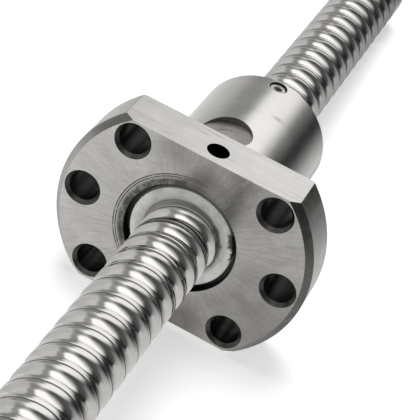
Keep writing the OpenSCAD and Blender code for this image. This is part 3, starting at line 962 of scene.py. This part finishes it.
def fit_lip(mesh, back, front):
    """Moves the lip's inner edge to just clear of the thread, whose section there never changes."""
    places = [back + (front - back) * k / LIP_SAMPLES for k in range(LIP_SAMPLES + 1)]
    for vert in mesh.vertices:
        r = math.hypot(vert.co.y, vert.co.z) / MM
        if abs(r - LIP_MARK) < 0.01:
            angle = math.degrees(math.atan2(vert.co.z, vert.co.y))
            reach = max(thread_radius(x, angle) for x in places) + LIP_GAP
            vert.co.y *= reach / r
            vert.co.z *= reach / r


def front_wiper_piece(plastic):
    """Wiper ring in the flange face: raised land, small steps and a thin lip that follows the thread."""
    back = FRONT - FRONT_SEAT
    front = FRONT - WIPER_SUNK
    inner = LAND_R + WIPER_CLEAR
    outer = FRONT_SEAT_R - WIPER_SLACK
    lip_front = front - LIP_SUNK
    lip_back = lip_front - LIP_THICK
    mesh = turned_mesh("front_wiper_ring", [
        (back, inner), (back, outer), (back + WIPER_LEDGE, outer), (back + WIPER_LEDGE, WIPER_R),
        (front - 0.2, WIPER_R), (front - 0.06, WIPER_R - 0.05), (front, WIPER_R - 0.18),
        (front, inner + 0.62), (front - 0.08, inner + 0.5), (front - 0.1, inner + 0.3),
        (lip_front + LIP_EASE, inner), (lip_front, LIP_MARK), (lip_back, LIP_MARK),
        (lip_back - LIP_EASE, inner)
    ], NUT_STEPS, closed=True)
    fit_lip(mesh, lip_back - LIP_MARGIN, lip_front + LIP_MARGIN)
    mesh.materials.append(plastic)
    finish_mesh(mesh, sharp_degrees=40.0)
    piece = piece_from("front_wiper_ring", mesh)
    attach(piece, "nut")
    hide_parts("front_wiper")
    return piece


# The CAD nodes that stay, each with its slot, which is its finish too
CARRIED = [("rear_wiper", "wiper_plastic"), ("wiper_lock_screw", "plug_steel"),
           ("retaining_ring", "black_steel"), ("front_return_plug", "plug_steel"),
           ("middle_return_plug", "plug_steel"), ("rear_return_plug", "plug_steel"),
           ("front_ball_circuit", "ball_steel"), ("middle_ball_circuit", "ball_steel"),
           ("rear_ball_circuit", "ball_steel")]


def dress_carried_nodes(materials):
    """Gives the CAD nodes that stay their finishes."""
    for name, slot in CARRIED:
        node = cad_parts[name]
        node.data.materials.clear()
        node.data.materials.append(materials[slot])


# Studio

FLOOR_SIZE = 1500.0
PAPER_WHITE = (0.86, 0.86, 0.86, 1.0)
PAPER_GLOW = 0.4


def floor_height(x):
    """Height of the table at one place along the screw, in millimetres."""
    return -FLOOR_DROP - FLOOR_SLOPE * x


def studio_floor():
    """White table that glows a little, keeps the shadow and is clear from below."""
    bm = bmesh.new()
    corners = [bm.verts.new((x * FLOOR_SIZE * MM, y * FLOOR_SIZE * MM, floor_height(x * FLOOR_SIZE) * MM))
               for x, y in ((-1, -1), (1, -1), (1, 1), (-1, 1))]
    bm.faces.new(corners)
    mesh = mesh_from("floor", bm)
    material = bpy.data.materials.new("floor_white")
    w = fresh_wiring(material)
    paper = w.make("ShaderNodeBsdfDiffuse", {"Color": PAPER_WHITE})
    glow = w.make("ShaderNodeEmission", {"Strength": PAPER_GLOW})
    both = w.make("ShaderNodeAddShader", {0: paper, 1: glow})
    clear = w.make("ShaderNodeBsdfTransparent", {})
    below = w.add("ShaderNodeNewGeometry").outputs["Backfacing"]
    pick = w.make("ShaderNodeMixShader", {0: below, 1: both, 2: clear})
    w.add("ShaderNodeOutputMaterial", {"Surface": pick})
    material.cycles.emission_sampling = "NONE"
    mesh.materials.append(material)
    floor = piece_from("floor", mesh)
    floor.visible_glossy = False


# Brightness of the cloths round the studio, as (degrees up from the far horizon, over the top and down in
# front; level), one list for each stretch across the studio, from the left to the right of the part.
WALL = [(-180, 0.64), (-160, 0.62), (-145, 0.8), (-70, 1.2), (-37, 0.85), (-20, 0.66), (0, 0.62), (60, 0.7),
        (120, 0.74), (150, 0.66), (180, 0.64)]
SLIT = [(-180, 0.6), (-160, 0.7), (-147, 0.92), (-70, 0.9), (-37, 0.92), (-22, 0.72), (-3, 0.56), (10, 0.48),
        (20, 0.28), (32, 0.29), (60, 0.35), (110, 0.36), (130, 0.36), (150, 0.27), (165, 0.3), (180, 0.45)]
MIDDLE = [(-180, 0.5), (-165, 0.5), (-145, 0.42), (-70, 0.6), (-37, 0.9), (-22, 0.8), (-12, 0.36),
          (-3, 0.04), (14, 0.0), (60, 0.08), (120, 0.3), (135, 0.48), (150, 0.5), (165, 0.6), (180, 0.5)]
RIGHT = [(-180, 0.13), (-157, 0.08), (-143, 0.68), (-118, 0.8), (-93, 0.75), (-60, 0.65), (-34, 0.7),
         (-25, 0.6), (-15, 0.42), (-8, 0.25), (0, 0.05), (8, 0.01), (18, 0.13), (26, 0.24), (60, 0.05),
         (100, 0.22), (130, 0.16), (150, 0.09), (180, 0.1)]
EDGE = [(-180, 0.26), (-165, 0.43), (-157, 0.55), (-145, 0.66), (-118, 0.74), (-93, 0.73), (-63, 0.65),
        (-39, 0.57), (-21, 0.45), (-9, 0.22), (3, 0.07), (14, 0.02), (60, 0.04), (130, 0.09), (165, 0.1),
        (180, 0.24)]
# Where each cloth takes over from the one at its left, as the sine of the angle across the studio
BANDS = [(SLIT, -0.76, -0.68), (MIDDLE, -0.25, -0.14), (RIGHT, -0.12, 0.14), (EDGE, 0.46, 0.63)]
MAIN_LIGHT = [(-180, 1.2), (20, 1.2), (42, 1.12), (57, 1.38), (75, 1.45), (180, 1.45)]
BACK_LIGHT = 1.3
TENT_RADIUS = 0.9
TENT_WHITE = (1.0, 0.995, 0.985, 1.0)


def level_curve(w, value, levels):
    """Brightness along one list, where the value runs from 0 to 1 over the whole turn."""
    node = w.add("ShaderNodeFloatCurve", {"Value": value})
    curve = node.mapping.curves[0]
    top = max(level for _, level in levels)
    points = [((degrees + 180.0) / 360.0, level / top) for degrees, level in levels]
    curve.points[0].location = points[0]
    curve.points[1].location = points[-1]
    for point in points[1:-1]:
        curve.points.new(*point)
    for point in curve.points:
        point.handle_type = "VECTOR"
    node.mapping.update()
    return w.times(node.outputs[0], top)


def blend(w, level, other, share):
    """Level moved by a share of the way to another one."""
    return w.linear(w.minus(other, level), share, level)


def past(w, value, mark):
    """How far a value lies beyond a mark."""
    return w.math("MAXIMUM", w.minus(value, mark), 0.0)


def main_light(w, y, lean, degrees):
    """Large oval light overhead: its lower edge climbs at both sides, its upper edge falls and softens."""
    low = w.linear(past(w, w.times(y, -1.0), 0.13), -110.0, degrees)
    low = w.linear(past(w, y, 0.22), -55.0, low)
    side = past(w, y, -0.05)
    high = w.linear(side, 60.0, w.minus(degrees, 126.0))
    high = w.math("DIVIDE", high, w.linear(side, 4.0, 1.0))
    inside = w.times(w.ramp(low, 14.0, 32.0), w.ramp(high, 11.0, -11.0))
    across = w.times(w.ramp(lean, -0.51, -0.41), w.ramp(y, 0.84, 0.67))
    return w.times(inside, across)


def back_light(w, y, steep):
    """Smaller light low in front, beyond the near end of the part."""
    along = w.ramp(w.linear(y, -35.0, steep), 150.0, 166.0)
    across = w.times(w.ramp(y, -0.16, -0.08), w.ramp(y, 0.42, 0.24))
    return w.times(along, across)


def tent_level(w):
    """Brightness of the tent in each direction; the first cloth and the main light lean in front."""
    place = w.add("ShaderNodeTexCoord").outputs["Object"]
    way = w.make("ShaderNodeVectorMath", {0: place}, operation="NORMALIZE")
    x, y, z = w.separate(way)[:3]
    over = w.math("DIVIDE", w.math("ARCTAN2", z, w.times(x, -1.0)), math.tau)
    over = w.plus(over, 0.5)
    degrees = w.linear(over, 360.0, -180.0)
    steep = w.math("ABSOLUTE", degrees)
    lean = w.linear(past(w, steep, 107.0), -0.0062, y)
    level = level_curve(w, over, WALL)
    for (levels, start, end), across in zip(BANDS, (lean, y, y, y)):
        level = blend(w, level, level_curve(w, over, levels), w.ramp(across, start, end))
    level = blend(w, level, level_curve(w, over, MAIN_LIGHT), main_light(w, y, lean, degrees))
    return blend(w, level, BACK_LIGHT, back_light(w, y, steep))


def studio_tent():
    """What the steel reflects: a tent of soft light and dark cloth, seen only in the part's gloss."""
    bm = bmesh.new()
    bmesh.ops.create_icosphere(bm, subdivisions=5, radius=TENT_RADIUS)
    mesh = mesh_from("tent", bm)
    material = bpy.data.materials.new("tent_light")
    w = fresh_wiring(material)
    glow = w.make("ShaderNodeEmission", {"Color": TENT_WHITE, "Strength": tent_level(w)})
    w.add("ShaderNodeOutputMaterial", {"Surface": glow})
    material.cycles.emission_sampling = "NONE"
    mesh.materials.append(material)
    tent = piece_from("tent", mesh)
    tent.visible_camera = False
    tent.visible_diffuse = False
    tent.visible_shadow = False
    tent.visible_transmission = False


SOFT_LIGHT = 0.62


def studio_world():
    """White where the camera, gloss or glass looks, and a plain soft light on everything else."""
    world = bpy.data.worlds.new("studio")
    bpy.context.scene.world = world
    w = fresh_wiring(world)
    rays = w.add("ShaderNodeLightPath").outputs
    through = w.math("MAXIMUM", rays["Is Glossy Ray"], rays["Is Transmission Ray"])
    seen = w.math("MAXIMUM", rays["Is Camera Ray"], through)
    back = w.make("ShaderNodeBackground", {"Strength": w.ramp(seen, 0.0, 1.0, SOFT_LIGHT, 1.0)})
    w.add("ShaderNodeOutputWorld", {"Surface": back})


LAMP_AT = Vector((-0.12, -0.14, 0.6))
LAMP_SIZE = 0.4
LAMP_WATTS = 2.6


def studio_lamp():
    """One soft round lamp overhead, aimed at the flange, which the gloss does not see."""
    light = bpy.data.lights.new("overhead_lamp", "AREA")
    light.shape = "DISK"
    light.size = LAMP_SIZE
    light.energy = LAMP_WATTS
    lamp = piece_from("overhead_lamp", light)
    lamp.location = LAMP_AT
    lamp.rotation_mode = "QUATERNION"
    lamp.rotation_quaternion = (-LAMP_AT).to_track_quat("-Z", "Y")
    lamp.visible_glossy = False


# The photograph's view: the way to the camera and its roll in degrees, its aim and distance in mm, its lens
VIEW_AZIMUTH = math.radians(8.993)
VIEW_HEIGHT = math.radians(34.98)
VIEW_ROLL = math.radians(22.5)
VIEW_AIM = Vector((-1.014, 1.230, 1.049))
VIEW_AWAY = 229.0
VIEW_LENS = 133.085
VIEW_SENSOR = 36.0


def studio_camera():
    """The photograph's view: from in front of the flange, above, rolled to the left."""
    flat = math.cos(VIEW_HEIGHT)
    back = Vector((math.cos(VIEW_AZIMUTH) * flat, math.sin(VIEW_AZIMUTH) * flat, math.sin(VIEW_HEIGHT)))
    data = bpy.data.cameras.new("camera")
    data.sensor_width = VIEW_SENSOR
    data.lens = VIEW_LENS
    data.clip_start = 0.005
    data.clip_end = 20.0
    camera = piece_from("camera", data)
    camera.location = VIEW_AIM * MM + back * VIEW_AWAY * MM
    camera.rotation_mode = "QUATERNION"
    roll = Quaternion((0.0, 0.0, 1.0), VIEW_ROLL)
    camera.rotation_quaternion = (-back).to_track_quat("-Z", "Y") @ roll
    bpy.context.scene.camera = camera
    bpy.context.scene.view_settings.view_transform = "Standard"


def main():
    """Builds the part's own pieces, dresses those that stay, and sets up the studio."""
    finishes = {"flange_face": face_steel(), "chamfer": chamfer_steel(), "milled_flat": scored_flat(),
                "ground_body": scuffed_body()}
    for name in ("hole_mouth", "flange_rim", "mount_face", "hole_painted_shade"):
        finishes[name] = steel(name)
    carried = {"wiper_plastic": wiper_plastic()}
    for name in ("black_steel", "plug_steel", "ball_steel"):
        carried[name] = steel(name)
    shaft_steel = thread_steel()
    skin = thread_tree()
    screw_piece(skin, shaft_steel)
    nut_piece(skin, finishes)
    front_wiper_piece(carried["wiper_plastic"])
    dress_carried_nodes(carried)
    studio_floor()
    studio_tent()
    studio_world()
    studio_lamp()
    studio_camera()


main()
